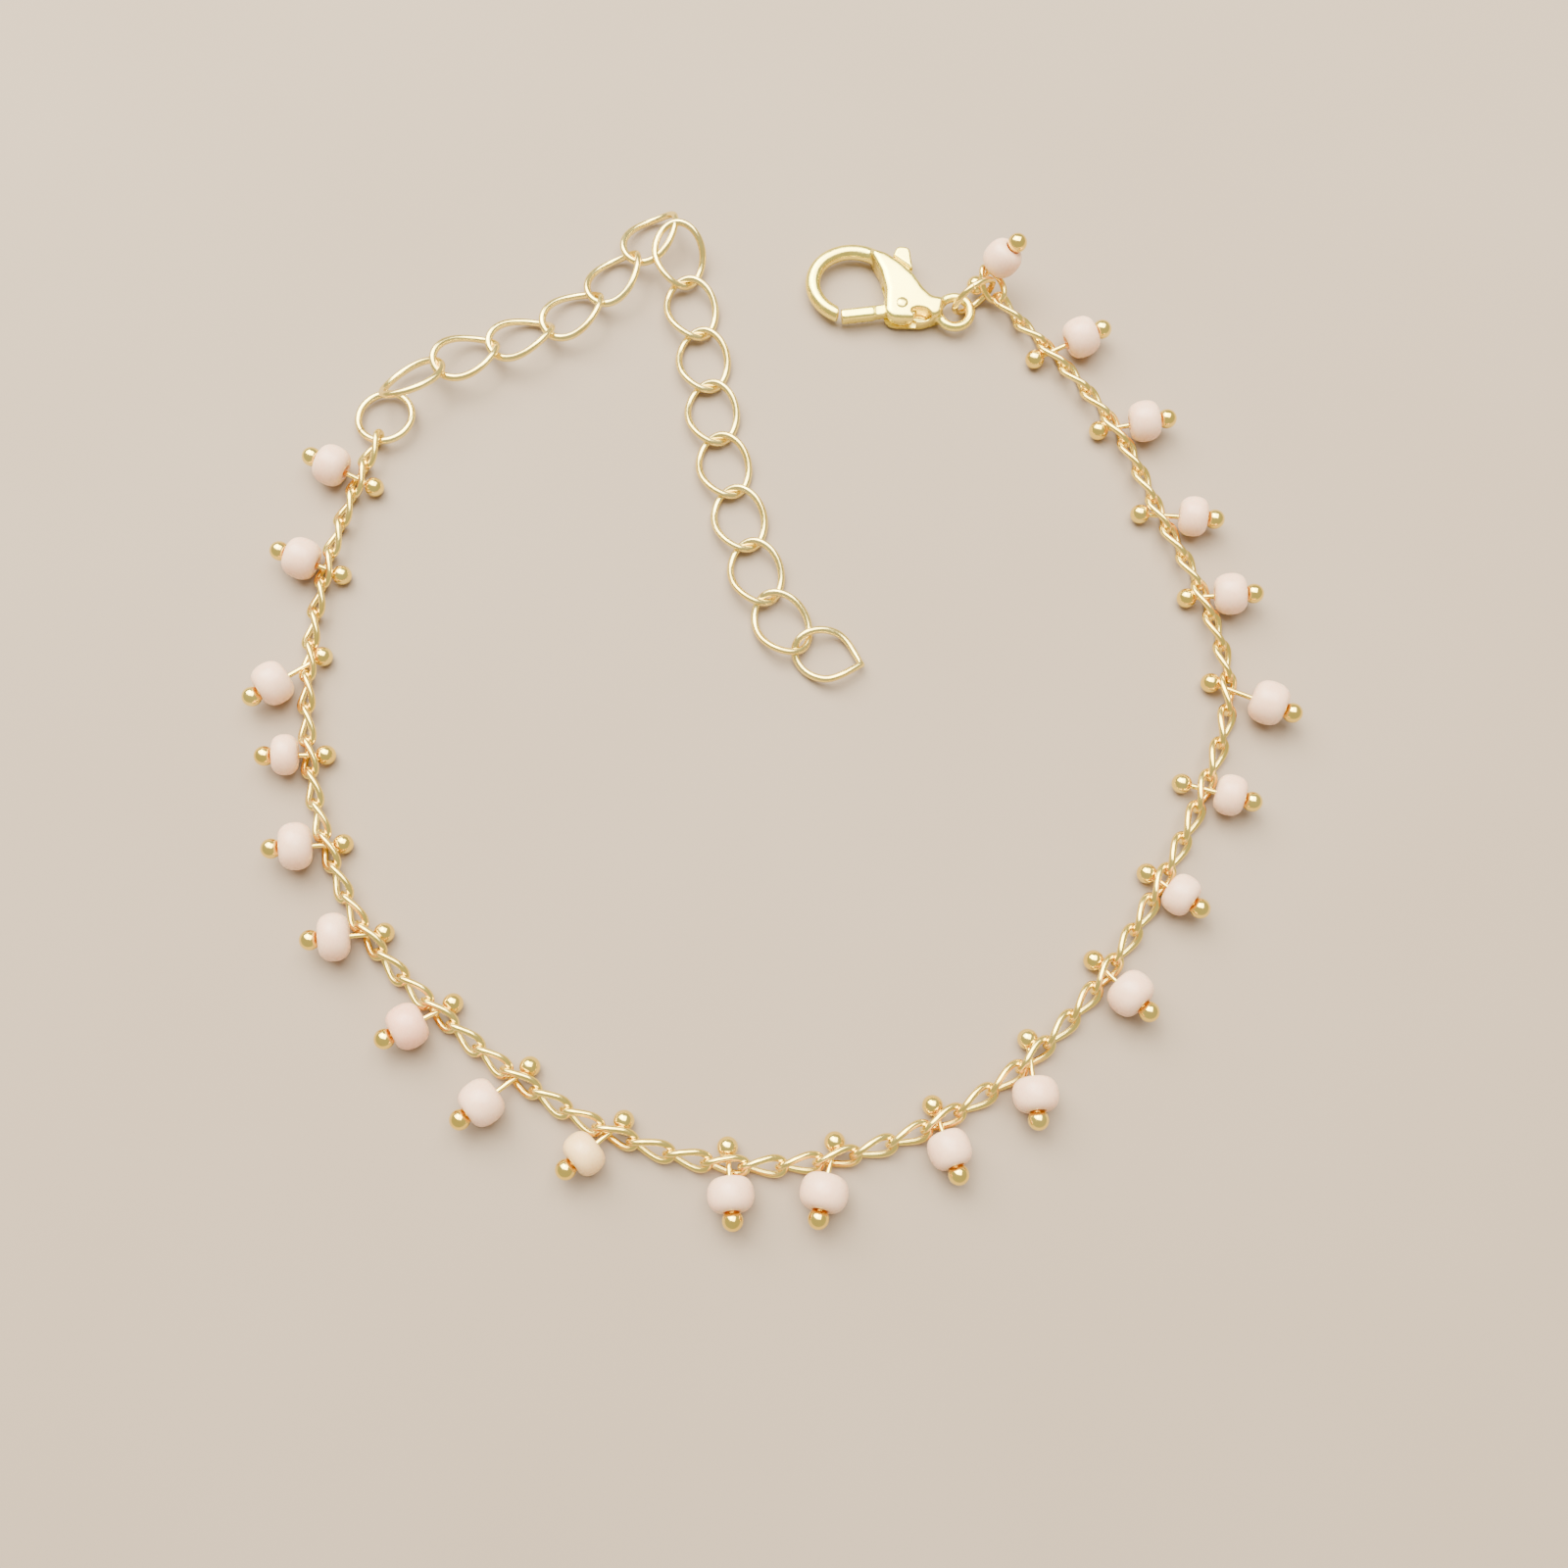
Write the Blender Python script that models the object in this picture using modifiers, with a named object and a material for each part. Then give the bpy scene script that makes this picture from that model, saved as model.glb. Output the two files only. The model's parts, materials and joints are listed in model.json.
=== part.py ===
# A bead drop chain bracelet of gold-plated brass and glass, lying open and unfastened on a surface.
# A fine twisted curb chain carries 22 ball pins, each with one glass seed bead threaded on it.
# A jump ring and an extender chain hang on the chain's left end, a lobster clasp on its right end.
# Sizes are in millimetres, as seen from above: x to the right, y away from the viewer, z up.
import math

import bmesh
import bpy
from mathutils import Matrix, Vector
from mathutils.geometry import interpolate_bezier

MM = 0.001

# The fine curb chain. Each link is twisted: edge-on where it starts, almost flat where it ends.
CHAIN_WIRE = 0.38
CHAIN_HALF_WIDTH = 0.62
CHAIN_ROLL_START, CHAIN_ROLL_END = 97.0, 17.0
CHAIN_HEIGHT = 0.87
LINKS_PER_DROP = 3

# The chain's route and its drops, a row for each link that carries a pin.
# x, y: the link's middle; shift: how far along the link the pin goes through; heading: where the
# pin points, in degrees; inside: from the inner ball to the link's middle; span: from ball to ball;
# length, width: the bead's.
DROP_COLUMNS = ("x", "y", "shift", "heading", "inside", "span", "length", "width")
DROPS = (
    (-28.5, 14.7, 0.1, 156, 1.20, 4.7, 2.1, 2.8),
    (-30.3, 8.1, 0.1, 161, 1.15, 4.4, 2.2, 2.8),
    (-31.0, 1.5, 0.3, -144, 1.10, 5.3, 2.2, 2.9),
    (-30.5, -5.2, -0.1, -176, 1.10, 3.9, 1.7, 2.7),
    (-28.8, -11.5, -0.4, -173, 1.10, 4.5, 2.1, 3.1),
    (-25.7, -17.3, -0.4, -172, 1.10, 4.6, 2.0, 3.1),
    (-21.0, -22.0, -0.2, -150, 1.10, 4.7, 2.2, 2.9),
    (-15.7, -26.2, -0.4, -141, 1.10, 5.3, 2.3, 2.9),
    (-9.7, -29.5, -0.4, -139, 1.15, 4.6, 1.9, 2.8),
    (-2.8, -31.3, 0.2, -85, 1.10, 4.5, 2.1, 2.9),
    (4.1, -30.9, -0.4, -103, 1.10, 4.8, 2.2, 3.0),
    (10.7, -28.6, -0.3, -71, 1.10, 4.5, 2.2, 2.7),
    (16.6, -24.6, -0.4, -86, 1.30, 5.1, 2.1, 2.9),
    (21.3, -19.5, 0.1, -47, 1.15, 4.7, 2.2, 3.0),
    (25.1, -13.7, 0.1, -38, 1.10, 4.0, 1.9, 2.7),
    (28.3, -7.5, 0.1, -18, 1.50, 4.6, 1.9, 2.7),
    (30.4, -0.8, 0.3, -25, 1.20, 5.6, 2.3, 2.9),
    (29.2, 5.8, 0.2, 0, 1.10, 4.4, 2.1, 2.8),
    (26.5, 12.1, -0.2, -8, 1.40, 5.0, 1.9, 2.7),
    (23.9, 18.4, 0.1, 6, 1.15, 4.7, 2.1, 2.8),
    (19.8, 24.1, 0.3, 22, 1.25, 5.1, 2.2, 2.8),
    (15.4, 29.4, 0.76, 25, 1.15, 4.4, 2.1, 2.6),
)
ROUTE_START = (-27.3, 17.9)
ROUTE_END = (15.15, 30.4)

# The last link climbs over the inner ball of its own pin, which stands up.
LAST_START_HEIGHT = 1.15
LAST_END = (14.95, 29.99, 2.09)
LAST_HALF_WIDTH = 0.72
LAST_ROLL_START, LAST_ROLL_END = -29.0, 40.4
LAST_PIN_RISE = 51.3

# The ball pins and the drilled glass beads. A bead lies on the surface, and the pin hangs in its
# bore a little below the bead's middle.
BALL_RADIUS = 0.68
PIN_WIRE = 0.34
BEAD_BORE = 1.0
BEAD_OFF_AXIS = 0.17
BEAD_TO_BALL = 0.52
# The corners of the turned outlines: the ball's as shares of its radius, and the bead's as shares
# of its width and its length.
BALL_SHOULDER, BALL_SHOULDER_HEIGHT = 0.62, 0.8
BEAD_RIM, BEAD_MOUTH, BEAD_BELLY = 0.33, 0.43, 0.24

# The extender chain, a row for each link from the jump ring to the free end.
# heading: the way the link lies; roll_start, roll_end: its turn about its own length at either
# end; height: its far end's height above the surface.
EXTENDER_WIRE = 0.5
EXTENDER_HALF_WIDTH = 1.7
EXTENDER_STEP = 4.1
EXTENDER_COLUMNS = ("heading", "roll_start", "roll_end", "height")
OUTWARD_RUN = (
    (32.9, -43, -29, 1.75),
    (26, 12, -36, 1.2),
    (19, 4, -44, 1.2),
    (36, 8, -40, 1.2),
    (53, 2, -46, 1.25),
    (51, 4, -44, 1.2),
)
RETURN_RUN = (
    (-80, 14, -34, 0.85),
    (-75, 20, -28, 0.7),
    (-80, 24, -24, 0.64),
    (-81, 24, -24, 0.64),
    (-75, 24, -24, 0.64),
    (-74, 24, -24, 0.64),
    (-73, 24, -26, 0.71),
    (-56, 28, -24, 0.7),
    (-16, 24, -24, 0.64),
)
OUTWARD_START = (-26.76, 20.64, 1.91)
RETURN_START = (-7.0, 33.65, 1.92)

# The two jump rings, measured to the middle of their wire. The larger one lies almost flat, and
# the smaller one stands upright.
RING_SIDES = 14
EXTENDER_RING_RADIUS, EXTENDER_RING_WIRE = 1.9, 0.5
EXTENDER_RING_PLACE = (-27.0, 19.38, 0.73)
EXTENDER_RING_TILT, EXTENDER_RING_AXIS = 7.2, (-0.79, -0.61, 0)
CLASP_RING_RADIUS, CLASP_RING_WIRE = 1.6, 0.45
CLASP_RING_PLACE = (14.15, 28.16, 1.82)
CLASP_RING_HEADING = 33.4
CLASP_RING_LEAN = 2.2

# Overlap where a fused chain's links touch, and the sides of a meshed wire and a turned piece.
CHAIN_OVERLAP = 0.03
WIRE_SIDES = 5
LINK_SIDES = 10
TURNED_SIDES = 10
SHARP_ANGLE = 50.0
MERGE = 0.00001
# Points that a stretch of the chain's route is measured along.
CURVE_POINTS = 61

# The lobster clasp in its own plan, with the rivet at the origin, the hook to the left and the
# eye to the right. The whole clasp is turned and set down at the rivet's place.
CLASP_PLACE = (9.1, 27.6)
CLASP_TURN = -10.0
CLASP_THICKNESS = 1.9
CLASP_MIDDLE = CLASP_THICKNESS / 2
BODY_OUTLINE = (
    (-2.9, 4.05), (-2.7, 3.4), (-1.9, 2.3), (-1.35, 1.0), (-1.1, -0.9), (-0.5, -1.25), (1.6, -0.95),
    (2.9, -0.3), (2.9, 1.1), (2.0, 1.05), (1.3, 1.6), (0.5, 2.5), (-0.6, 3.3), (-1.7, 3.85),
)
BODY_BEVEL = 0.3
HOOK_CENTRE = (-3.6, 1.35)
HOOK_HALF_SIZE = (2.95, 2.6)
HOOK_WIRE_RADIUS = 0.52
HOOK_FROM, HOOK_TO = 45.0, 257.0
HOOK_POINTS = 14
HOOK_ROUNDNESS = 2
EYE_CENTRE = (3.75, 0.45)
EYE_RADIUS = 1.15
EYE_WIRE_RADIUS = 0.34
EYE_RING_SIDES, EYE_WIRE_SIDES = 14, 6
SLOT_THICKNESS = 0.9
SLOT_OUTLINE = (
    (-1.55, 6.0), (-1.4, 3.2), (-0.75, 1.7), (-2.6, 1.6), (-2.6, -3.0),
    (1.2, -3.0), (1.2, 0.6), (2.7, 3.2), (2.4, 6.0),
)
NOTCH_OUTLINE = ((1.0, -1.6), (2.3, -1.6), (2.3, 0.0), (1.0, 0.0))
NOTCH_FLOOR = 1.1
RIVET_RADIUS = 0.32
RIVET_SUNK = 0.25
# Cutters that go right through the clasp run from below it to above it.
CUT_FROM, CUT_TO = -1.0, 3.0

# The lever turns on the rivet. Its gate closes the hook, and its tab is pulled with a thumbnail.
LEVER_THICKNESS = 0.62
HUB_RADIUS, HUB_SIDES = 0.9, 16
HUB_HOLE_RADIUS, HUB_HOLE_SIDES = 0.45, 12
ARM_OUTLINE = ((-0.55, 0.0), (-0.62, 1.7), (-1.15, 3.3), (-1.15, 4.0), (0.0, 4.0), (0.5, 0.0))
TAB_OUTLINE = ((-1.25, 3.78), (-1.1, 4.45), (-0.9, 4.62), (-0.3, 4.65), (-0.1, 4.45), (0.35, 2.95))
TAB_THICKNESS = 1.3
GATE_START, GATE_END = (-1.75, -0.62), (-4.5, -1.45)
GATE_HALF_WIDTH = 0.4
GATE_THICKNESS = 1.0
GATE_REACH = 4.3
GATE_GAP = 0.12
SWEEP_FROM, SWEEP_TO, SWEEP_STEPS = 165.0, 215.0, 10
GATE_ROOM_BACK = ((-1.6, -1.5), (-1.6, 0.6))


def clear_scene():
    for leftover in list(bpy.data.objects):
        bpy.data.objects.remove(leftover, do_unlink=True)


def new_collection(name, hidden=False):
    collection = bpy.data.collections.new(name)
    bpy.context.scene.collection.children.link(collection)
    collection.hide_render = hidden
    return collection


def new_material(name, colour, metallic, roughness):
    made = bpy.data.materials.new(name)
    made.use_nodes = True
    shader = made.node_tree.nodes["Principled BSDF"]
    shader.inputs["Base Color"].default_value = (*colour, 1.0)
    shader.inputs["Metallic"].default_value = metallic
    shader.inputs["Roughness"].default_value = roughness
    return made


def add_part(name, mesh, finish):
    mesh.materials.clear()
    mesh.materials.append(finish)
    mesh.shade_smooth()
    mesh.set_sharp_from_angle(angle=math.radians(SHARP_ANGLE))
    part = bpy.data.objects.new(name, mesh)
    parts.objects.link(part)
    return part


def add_cutter(name, data):
    cutter = bpy.data.objects.new(name, data)
    cutters.objects.link(cutter)
    cutter.hide_render = True
    cutter.display_type = "WIRE"
    return cutter


def combine(part, other_name, other_mesh, operation):
    """A live Boolean of the part with another closed mesh, which is kept among the cutters."""
    other = add_cutter(other_name, other_mesh)
    step = part.modifiers.new(other_name, "BOOLEAN")
    step.operation = operation
    step.solver = "EXACT"
    step.object = other
    return other


def mesh_from_curve(name, data):
    """A closed mesh of a curve's evaluated shape, with its loose caps welded on."""
    helper = add_cutter(name, data)
    graph = bpy.context.evaluated_depsgraph_get()
    mesh = bpy.data.meshes.new_from_object(helper.evaluated_get(graph))
    bpy.data.objects.remove(helper)
    mesh.name = name
    work = bmesh.new()
    work.from_mesh(mesh)
    bmesh.ops.remove_doubles(work, verts=work.verts, dist=MERGE)
    bmesh.ops.recalc_face_normals(work, faces=work.faces)
    work.to_mesh(mesh)
    work.free()
    return mesh


def corner_radius(wire):
    """From the middle of a wire to the corners of the small polygon that has the round wire's area."""
    step = 2 * math.pi / WIRE_SIDES
    return wire / 2 * math.sqrt(step / math.sin(step))


def add_ring(work, sides, radius, wire):
    """Adds a flat ring of wire to a mesh, about the origin, and returns its vertices."""
    first = len(work.verts)
    place = Matrix.Translation((radius * MM, 0, 0)) @ Matrix.Rotation(math.pi / 2, 4, "X")
    corners = bmesh.ops.create_circle(work, radius=corner_radius(wire) * MM, segments=WIRE_SIDES,
                                      matrix=place)["verts"]
    edges = list({edge for corner in corners for edge in corner.link_edges})
    bmesh.ops.spin(work, geom=corners + edges, cent=(0, 0, 0), axis=(0, 0, 1),
                   angle=2 * math.pi, steps=sides, use_merge=True)
    work.verts.ensure_lookup_table()
    return work.verts[first:]


def add_link(work, start, end, wire, half_width, roll_start, roll_end, pointed=False):
    """Adds a link that holds its neighbours at start and end: a ring made oval, then twisted."""
    along = (end - start).normalized()
    side = Vector((0, 0, 1)).cross(along).normalized()
    up = along.cross(side)
    half_length = ((end - start).length - CHAIN_OVERLAP) / 2 + corner_radius(wire)
    for vertex in add_ring(work, LINK_SIDES, half_width, wire):
        x, y, z = vertex.co / MM
        forward = x + math.copysign(half_length - half_width, x)
        if pointed and x > 0:
            angle = math.atan2(y, x)
            off_middle = math.hypot(x, y) - half_width
            forward = half_length * (1 - abs(angle) / (math.pi / 2)) + off_middle * math.cos(angle)
        turn = roll_start + (roll_end - roll_start) * (1 + forward / half_length) / 2
        sine, cosine = math.sin(math.radians(turn)), math.cos(math.radians(turn))
        vertex.co = ((start + end) / 2 + forward * along + (y * cosine - z * sine) * side
                     + (y * sine + z * cosine) * up) * MM


def mesh_of(name, work):
    """A mesh of what was made in work, with its faces turned outwards."""
    bmesh.ops.recalc_face_normals(work, faces=work.faces)
    mesh = bpy.data.meshes.new(name)
    work.to_mesh(mesh)
    work.free()
    return mesh


def fused_chain(name, links, finish):
    """Every second link and the links between them, made one solid where they touch."""
    halves = []
    for first in (0, 1):
        work = bmesh.new()
        for link in links[first::2]:
            add_link(work, *link)
        halves.append(work)
    chain = add_part(name, mesh_of(name, halves[0]), finish)
    combine(chain, name + "_between", mesh_of(name + "_between", halves[1]), "UNION")


def way_at(route, index):
    """The direction of the smooth route at one of its points."""
    ways = [(there - here).normalized() for here, there in zip(route, route[1:])]
    return (ways[max(index - 1, 0)] + ways[min(index, len(ways) - 1)]).normalized()


def stretch(route, index, steps):
    """The points that divide the smooth route, from one of its points to the next, into equal steps."""
    start, end = route[index], route[index + 1]
    handle = (end - start).length / 3
    fine = interpolate_bezier(start, start + handle * way_at(route, index),
                              end - handle * way_at(route, index + 1), end, CURVE_POINTS)
    run = [0.0]
    for here, there in zip(fine, fine[1:]):
        run.append(run[-1] + (there - here).length)
    places = [start]
    for step in range(1, steps):
        wanted = run[-1] * step / steps
        after = next(k for k, length in enumerate(run) if length > wanted)
        share = (wanted - run[after - 1]) / (run[after] - run[after - 1])
        places.append(fine[after - 1].lerp(fine[after], share))
    return places


def chain_joints():
    """The points where the fine chain's links hold each other, from its left end to its right end."""
    route = [Vector((*ROUTE_START, CHAIN_HEIGHT))]
    route += [Vector((row["x"], row["y"], CHAIN_HEIGHT)) for row in drops]
    route.append(Vector((*ROUTE_END, CHAIN_HEIGHT)))
    # Half a link is one step: three steps to the first drop's middle, one after the last drop's.
    steps = [3] + [2 * LINKS_PER_DROP] * (len(drops) - 1) + [1]
    halves = [place for index, count in enumerate(steps) for place in stretch(route, index, count)]
    joints = (halves + [route[-1]])[0::2]
    joints[-2].z = LAST_START_HEIGHT
    joints[-1] = Vector(LAST_END)
    return joints


def curb_chain(joints):
    links = [(start, end, CHAIN_WIRE, CHAIN_HALF_WIDTH, CHAIN_ROLL_START, CHAIN_ROLL_END)
             for start, end in zip(joints[:-2], joints[1:-1])]
    links.append((joints[-2], joints[-1], CHAIN_WIRE, LAST_HALF_WIDTH, LAST_ROLL_START, LAST_ROLL_END))
    fused_chain("curb_chain", links, gold)


def turned(name, outline, closed, finish):
    """A turned piece: an outline of (radius, height) points, top first, spun round its axis."""
    mesh = bpy.data.meshes.new(name)
    count = len(outline)
    edges = [(k, k + 1) for k in range(count - 1)] + ([(count - 1, 0)] if closed else [])
    mesh.from_pydata([(radius * MM, 0, height * MM) for radius, height in outline], edges, [])
    part = add_part(name, mesh, finish)
    spin = part.modifiers.new("turn", "SCREW")
    spin.steps = spin.render_steps = TURNED_SIDES
    spin.use_merge_vertices = True
    spin.merge_threshold = MERGE
    return part


def set_along(part, place, way):
    """Puts a turned piece's origin at a place, with its axis along a direction."""
    part.matrix_world = Matrix.Translation(place * MM) @ way.to_track_quat("Z", "Y").to_matrix().to_4x4()


def ball_pin(name, span):
    """A wire with a ball melted on each end; its origin is the inner ball's middle."""
    wire = PIN_WIRE / 2
    neck = math.sqrt(BALL_RADIUS ** 2 - wire ** 2)
    shoulder, height = BALL_SHOULDER * BALL_RADIUS, BALL_SHOULDER_HEIGHT * BALL_RADIUS
    outline = [(0, span + BALL_RADIUS), (shoulder, span + height), (BALL_RADIUS, span), (wire, span - neck),
               (wire, neck), (BALL_RADIUS, 0), (shoulder, -height), (0, -BALL_RADIUS)]
    return turned(name, outline, False, gold)


def glass_bead(name, length, width):
    """A drilled seed bead: rounded outside, with its bore along its axis."""
    bore, rim, outside = BEAD_BORE / 2, BEAD_RIM * width, width / 2
    mouth, end, belly = BEAD_MOUTH * length, length / 2, BEAD_BELLY * length
    outline = [(bore, mouth), (rim, end), (outside, belly), (outside, -belly), (rim, -end), (bore, -mouth)]
    return turned(name, outline, True, glass)


def drop(number, row, start, end):
    """One ball pin through its link, and the bead on it."""
    crossing = (start + end) / 2 + row["shift"] * (end - start).normalized()
    heading = math.radians(row["heading"])
    to_bead = row["span"] - row["length"] / 2 - BEAD_TO_BALL
    if number == len(drops):
        rise = math.radians(LAST_PIN_RISE)
    else:
        rise = math.asin((row["width"] / 2 - BEAD_OFF_AXIS - BALL_RADIUS) / to_bead)
    way = Vector((math.cos(rise) * math.cos(heading), math.cos(rise) * math.sin(heading), math.sin(rise)))
    inner = crossing - row["inside"] * way
    if number < len(drops):
        inner.z = BALL_RADIUS
    set_along(ball_pin(f"ball_pin_{number:02d}", row["span"]), inner, way)
    bead_place = inner + to_bead * way
    if number < len(drops):
        bead_place.z = row["width"] / 2 * math.cos(rise) + BEAD_BELLY * row["length"] * math.sin(rise)
    set_along(glass_bead(f"glass_bead_{number:02d}", row["length"], row["width"]), bead_place, way)


def run_links(start, run, pointed_end):
    """One run of extender links, each starting where the one before it ends."""
    joint = Vector(start)
    links = []
    for number, row in enumerate(run, 1):
        link = dict(zip(EXTENDER_COLUMNS, row))
        heading = math.radians(link["heading"])
        climb = link["height"] - joint.z
        flat = math.sqrt(EXTENDER_STEP ** 2 - climb ** 2)
        end = joint + Vector((flat * math.cos(heading), flat * math.sin(heading), climb))
        links.append((joint, end, EXTENDER_WIRE, EXTENDER_HALF_WIDTH, link["roll_start"],
                      link["roll_end"], pointed_end and number == len(run)))
        joint = end
    return links


def extender_chain():
    links = run_links(OUTWARD_START, OUTWARD_RUN, False) + run_links(RETURN_START, RETURN_RUN, True)
    fused_chain("extender_chain", links, pale_gold)


def jump_ring(name, radius, wire, place, turn, finish):
    """A ring of round wire; turn is its attitude, from a ring that lies flat."""
    work = bmesh.new()
    add_ring(work, RING_SIDES, radius, wire)
    work.transform(Matrix.Translation(Vector(place) * MM) @ turn)
    add_part(name, mesh_of(name, work), finish)


def plate(name, outline, bottom, top):
    """A flat piece of the given plan, between two heights."""
    data = bpy.data.curves.new(name, "CURVE")
    data.dimensions = "2D"
    data.fill_mode = "BOTH"
    data.extrude = (top - bottom) / 2 * MM
    spline = data.splines.new("POLY")
    spline.points.add(len(outline) - 1)
    for point, (x, y) in zip(spline.points, outline):
        point.co = (x * MM, y * MM, 0, 1)
    spline.use_cyclic_u = True
    mesh = mesh_from_curve(name, data)
    mesh.transform(Matrix.Translation((0, 0, (bottom + top) / 2 * MM)))
    return mesh


def circle(radius, sides):
    return [(radius * math.cos(2 * math.pi * k / sides), radius * math.sin(2 * math.pi * k / sides))
            for k in range(sides)]


def through(name, outline):
    """A cutter of the given plan that goes right through the clasp."""
    return plate(name, outline, CUT_FROM, CUT_TO)


def layer(name, outline, thickness):
    """A plate of the given plan, centred in the clasp's thickness."""
    return plate(name, outline, CLASP_MIDDLE - thickness / 2, CLASP_MIDDLE + thickness / 2)


def hook_wire():
    """The hook as a thick bent wire, from inside the body round to its tip."""
    data = bpy.data.curves.new("clasp_hook", "CURVE")
    data.dimensions = "3D"
    data.bevel_depth = HOOK_WIRE_RADIUS * MM
    data.bevel_resolution = HOOK_ROUNDNESS
    data.use_fill_caps = True
    spline = data.splines.new("POLY")
    spline.points.add(HOOK_POINTS - 1)
    for k, point in enumerate(spline.points):
        angle = math.radians(HOOK_FROM + (HOOK_TO - HOOK_FROM) * k / (HOOK_POINTS - 1))
        x = HOOK_CENTRE[0] + HOOK_HALF_SIZE[0] * math.cos(angle)
        y = HOOK_CENTRE[1] + HOOK_HALF_SIZE[1] * math.sin(angle)
        point.co = (x * MM, y * MM, CLASP_MIDDLE * MM, 1)
    return mesh_from_curve("clasp_hook", data)


def sweep_arc(reach):
    """The arc that the gate's end swings along, as far out from the rivet as reach."""
    turns = [SWEEP_FROM + (SWEEP_TO - SWEEP_FROM) * k / SWEEP_STEPS for k in range(SWEEP_STEPS + 1)]
    return [(reach * math.cos(math.radians(turn)), reach * math.sin(math.radians(turn))) for turn in turns]


def sweep_outline(reach):
    """The plan of the room that the gate swings in."""
    return list(GATE_ROOM_BACK) + sweep_arc(reach)


def eye_ring():
    bpy.ops.mesh.primitive_torus_add(major_radius=EYE_RADIUS * MM, minor_radius=EYE_WIRE_RADIUS * MM,
                                     major_segments=EYE_RING_SIDES, minor_segments=EYE_WIRE_SIDES)
    helper = bpy.context.object
    mesh = helper.data
    bpy.data.objects.remove(helper)
    mesh.transform(Matrix.Translation(Vector((*EYE_CENTRE, CLASP_MIDDLE)) * MM))
    return mesh


def clasp_body():
    """The cast body with its hook and eye, the slot for the lever, and the rivet through the slot."""
    body = add_part("clasp_body", plate("clasp_body", BODY_OUTLINE, 0, CLASP_THICKNESS), bright_gold)
    soften = body.modifiers.new("soften", "BEVEL")
    soften.width = BODY_BEVEL * MM
    soften.segments = 1
    soften.limit_method = "ANGLE"
    hook = combine(body, "clasp_hook", hook_wire(), "UNION")
    combine(hook, "gate_room", through("gate_room", sweep_outline(GATE_REACH + GATE_GAP)), "DIFFERENCE")
    combine(body, "clasp_eye", eye_ring(), "UNION")
    combine(body, "lever_slot", layer("lever_slot", SLOT_OUTLINE, SLOT_THICKNESS), "DIFFERENCE")
    combine(body, "neck_notch", plate("neck_notch", NOTCH_OUTLINE, NOTCH_FLOOR, CUT_TO), "DIFFERENCE")
    rivet = plate("rivet", circle(RIVET_RADIUS, TURNED_SIDES), RIVET_SUNK, CLASP_THICKNESS - RIVET_SUNK)
    combine(body, "rivet", rivet, "UNION")
    return body


def clasp_lever():
    """The lever: a drilled hub on the rivet, an arm up to the tab and a gate across the hook."""
    hub = layer("clasp_lever", circle(HUB_RADIUS, HUB_SIDES), LEVER_THICKNESS)
    lever = add_part("clasp_lever", hub, bright_gold)
    web, gate = bar((0, 0), GATE_END, GATE_HALF_WIDTH), bar(GATE_START, GATE_END, GATE_HALF_WIDTH)
    combine(lever, "lever_arm", layer("lever_arm", ARM_OUTLINE, LEVER_THICKNESS), "UNION")
    combine(lever, "lever_tab", layer("lever_tab", TAB_OUTLINE, TAB_THICKNESS), "UNION")
    combine(lever, "lever_web", layer("lever_web", web, LEVER_THICKNESS), "UNION")
    combine(lever, "lever_gate", layer("lever_gate", gate, GATE_THICKNESS), "UNION")
    hole = through("lever_hole", circle(HUB_HOLE_RADIUS, HUB_HOLE_SIDES))
    combine(lever, "lever_hole", hole, "DIFFERENCE")
    combine(lever, "gate_end", through("gate_end", gate_end_outline()), "DIFFERENCE")
    return lever


def bar(start, end, half_width):
    """The plan of a straight bar between two points."""
    start, end = Vector(start), Vector(end)
    aside = (end - start).normalized().orthogonal() * half_width
    return [tuple(start - aside), tuple(end - aside), tuple(end + aside), tuple(start + aside)]


def gate_end_outline():
    """What is cut off the gate so that its end follows a circle round the rivet."""
    inner = sweep_arc(GATE_REACH)
    beyond = -HOOK_HALF_SIZE[0] - GATE_REACH
    return inner + [(beyond, inner[-1][1]), (beyond, inner[0][1])]


def set_down_clasp():
    """Both halves of the clasp hang on one empty at the rivet, which is the lever's axis."""
    hinge = bpy.data.objects.new("clasp_hinge", None)
    parts.objects.link(hinge)
    hinge.location = Vector((*CLASP_PLACE, 0)) * MM
    hinge.rotation_euler.z = math.radians(CLASP_TURN)
    for piece in (clasp_body(), clasp_lever()):
        piece.parent = hinge
    for cutter in cutters.objects:
        if cutter.name.startswith(("clasp_", "lever_", "gate_", "neck_", "rivet")):
            cutter.parent = hinge


clear_scene()
parts = new_collection("bead_drop_chain_bracelet")
cutters = new_collection("cutters", hidden=True)
gold = new_material("gold_plated_brass", (0.86, 0.66, 0.28), 1.0, 0.25)
pale_gold = new_material("pale_gold_plated_brass", (0.88, 0.74, 0.46), 1.0, 0.3)
bright_gold = new_material("polished_gold_plated_brass", (0.93, 0.73, 0.38), 1.0, 0.2)
glass = new_material("opaque_glass", (0.87, 0.75, 0.68), 0.0, 0.35)
drops = [dict(zip(DROP_COLUMNS, row)) for row in DROPS]

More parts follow.
